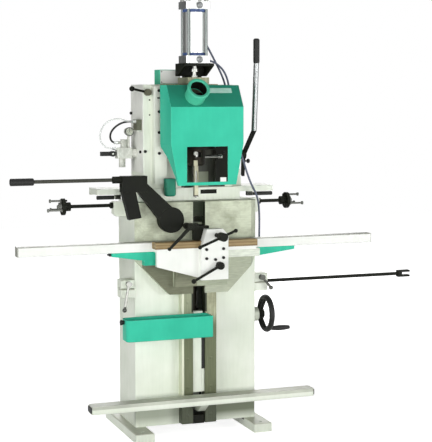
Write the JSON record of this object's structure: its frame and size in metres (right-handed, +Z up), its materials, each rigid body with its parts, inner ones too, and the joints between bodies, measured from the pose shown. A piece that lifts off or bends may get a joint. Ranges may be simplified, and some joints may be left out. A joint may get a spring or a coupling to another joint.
{
  "type": "hollow chisel mortiser",
  "caption": "Floor-standing hollow chisel mortising machine with an air-fed head, traverse and feed levers, a rising work table with a screw vise, length stops and a foot pedal.",
  "frame": {"origin": "on the floor, midway between the four anchor holes in the feet", "axes": "+X to the operator's right, +Y away from the operator, +Z up"},
  "size_m": [1.986, 0.664, 1.962],
  "materials": {
    "cream_paint": "satin enamel on sheet steel",
    "white_paint": "gloss enamel",
    "teal_paint": "gloss enamel on bent sheet",
    "dark_green_paint": "satin enamel",
    "way_iron": "ground and oiled",
    "black_iron": "black painted casting",
    "black_plastic": "moulded",
    "steel": "turned",
    "chrome": "polished",
    "aluminium": "anodised",
    "wood": "oiled hardwood",
    "hose": "extruded tube"
  },
  "bodies": {
    "frame": {"feet": "cream_paint", "column_shell": "cream_paint", "back_cover": "cream_paint", "front_casting": "way_iron", "slideways": "way_iron", "bed_way": "way_iron", "bearing_blocks": "way_iron", "pedal_pivot": "steel", "tool_tray": "teal_paint", "stop_brackets": "cream_paint", "turret_brackets": "cream_paint", "column_hose": "hose"},
    "wheel": {"handwheel": "black_iron"},
    "crank": {"crank_handle": "black_plastic"},
    "screw": {"elevating_screw": "steel"},
    "pedal": {"pedal_bar": "cream_paint"},
    "link": {"pedal_link": "steel"},
    "stop": {"stop_rod": "steel"},
    "right_clamp": {"clamp_lever_right": "black_iron"},
    "left_clamp": {"clamp_lever_left": "black_iron"},
    "left_turret": {"turret_left": "steel"},
    "right_turret": {"turret_right": "steel"},
    "knee": {"knee_body": "way_iron", "apron": "white_paint", "table_board": "wood", "work_rail": "cream_paint", "rail_arms": "teal_paint", "vise_block": "white_paint"},
    "jaw": {"vise_jaw": "black_iron"},
    "jaw_screw": {"vise_screw": "steel"},
    "jaw_stop": {"jaw_lever": "black_iron"},
    "lock": {"table_lock": "black_iron"},
    "carriage": {"carriage_plate": "cream_paint", "chip_cup": "dark_green_paint", "upright": "cream_paint", "keep_plates": "way_iron", "cylinder_caps": "aluminium", "cylinder_tube": "aluminium", "cylinder_bracket": "black_iron", "terminal_box": "teal_paint", "air_unit": "cream_paint", "air_hoses": "hose", "drop_hose": "hose"},
    "clamp": {"head_clamp": "black_iron"},
    "valve": {"valve_handle": "black_plastic"},
    "ram": {"ram_slide": "way_iron", "piston_rod": "steel", "motor_housing": "way_iron", "chisel_holder": "way_iron", "chisel": "steel", "hood": "teal_paint", "dust_port": "teal_paint"},
    "drill": {"spindle": "steel", "auger_bit": "steel"},
    "feed": {"feed_lever": "black_iron", "feed_tube": "chrome", "feed_grip": "black_plastic"},
    "traverse": {"traverse_lever": "black_iron", "traverse_grip": "black_plastic"}
  },
  "joints": [
    {"name": "head_traverse", "type": "slide", "parent": "frame", "child": "carriage", "axis": [1, 0, 0], "range_m": [-0.0165, 0.055]},
    {"name": "traverse_lever_swing", "type": "hinge", "parent": "frame", "child": "traverse", "pos_m": [-0.147, -0.215, 0.996], "axis": [0, 1, 0], "range_deg": [-12.5, 40.5]},
    {"name": "ram_feed", "type": "slide", "parent": "carriage", "child": "ram", "axis": [0, 0, 1], "range_m": [-0.13, 0]},
    {"name": "feed_lever_swing", "type": "hinge", "parent": "carriage", "child": "feed", "pos_m": [0.287, 0.008, 1.272], "axis": [1, 0, 0], "range_deg": [0, 74.6]},
    {"name": "spindle_spin", "type": "hinge", "parent": "ram", "child": "drill", "pos_m": [-0.03, -0.215, 1.4], "axis": [0, 0, 1], "continuous": true},
    {"name": "handwheel_turn", "type": "hinge", "parent": "frame", "child": "wheel", "pos_m": [0.362, -0.095, 0.526], "axis": [1, 0, 0], "range_deg": [-1980, 540]},
    {"name": "knee_lift", "type": "slide", "parent": "frame", "child": "knee", "axis": [0, 0, 1], "range_m": [-0.1101, 0.0301]},
    {"name": "screw_turn", "type": "hinge", "parent": "frame", "child": "screw", "pos_m": [0, -0.095, 0.7], "axis": [0, 0, 1], "range_deg": [-541, 1981]},
    {"name": "crank_spin", "type": "hinge", "parent": "wheel", "child": "crank", "pos_m": [0.41, -0.13068, 0.4589], "axis": [1, 0, 0], "continuous": true},
    {"name": "vise_screw_turn", "type": "hinge", "parent": "jaw", "child": "jaw_screw", "pos_m": [0.034, -0.385, 0.93], "axis": [0, 1, 0], "range_deg": [-144, 1080]},
    {"name": "vise_jaw_slide", "type": "slide", "parent": "knee", "child": "jaw", "axis": [0, 1, 0], "range_m": [-0.0041, 0.0301]},
    {"name": "jaw_lever_swing", "type": "hinge", "parent": "jaw", "child": "jaw_stop", "pos_m": [-0.093, -0.323, 0.972], "axis": [0, 1, 0], "range_deg": [-20, 80]},
    {"name": "table_lock_turn", "type": "hinge", "parent": "knee", "child": "lock", "pos_m": [0.046, -0.325, 0.795], "axis": [0, 1, 0], "range_deg": [-40, 25]},
    {"name": "pedal_press", "type": "hinge", "parent": "frame", "child": "pedal", "pos_m": [0, -0.06, 0.118], "axis": [1, 0, 0], "range_deg": [0, 8], "stiffness_Nm_per_rad": 60, "springref_deg": -28.65},
    {"name": "pedal_link_lift", "type": "slide", "parent": "frame", "child": "link", "axis": [0, 0, 1], "range_m": [-0.0071, 0.0001]},
    {"name": "stop_rod_slide", "type": "slide", "parent": "frame", "child": "stop", "axis": [1, 0, 0], "range_m": [-0.15, 0.03]},
    {"name": "right_clamp_turn", "type": "hinge", "parent": "frame", "child": "right_clamp", "pos_m": [0.3235, -0.145, 0.705], "axis": [0, 1, 0], "range_deg": [-30, 30]},
    {"name": "left_clamp_turn", "type": "hinge", "parent": "frame", "child": "left_clamp", "pos_m": [-0.3235, -0.145, 0.705], "axis": [0, 1, 0], "range_deg": [-30, 30]},
    {"name": "left_turret_turn", "type": "hinge", "parent": "frame", "child": "left_turret", "pos_m": [-0.45, 0, 1.05], "axis": [1, 0, 0], "continuous": true},
    {"name": "right_turret_turn", "type": "hinge", "parent": "frame", "child": "right_turret", "pos_m": [0.45, 0, 1.05], "axis": [1, 0, 0], "continuous": true},
    {"name": "head_clamp_turn", "type": "hinge", "parent": "carriage", "child": "clamp", "pos_m": [-0.221, -0.112, 1.562], "axis": [0, 1, 0], "range_deg": [-40, 30]},
    {"name": "valve_turn", "type": "hinge", "parent": "carriage", "child": "valve", "pos_m": [-0.35, 0.02, 1.284], "axis": [0, 1, 0], "range_deg": [-90, 0]}
  ],
  "couplings": [
    {"joint": "traverse_lever_swing", "follows": "head_traverse", "rad_per_m": 12.658},
    {"joint": "feed_lever_swing", "follows": "ram_feed", "rad_per_m": -10},
    {"joint": "knee_lift", "follows": "handwheel_turn", "m_per_rad": 0.0031831},
    {"joint": "screw_turn", "follows": "handwheel_turn", "ratio": -1},
    {"joint": "vise_jaw_slide", "follows": "vise_screw_turn", "m_per_rad": 0.0015915},
    {"joint": "pedal_link_lift", "follows": "pedal_press", "m_per_rad": -0.05}
  ]
}
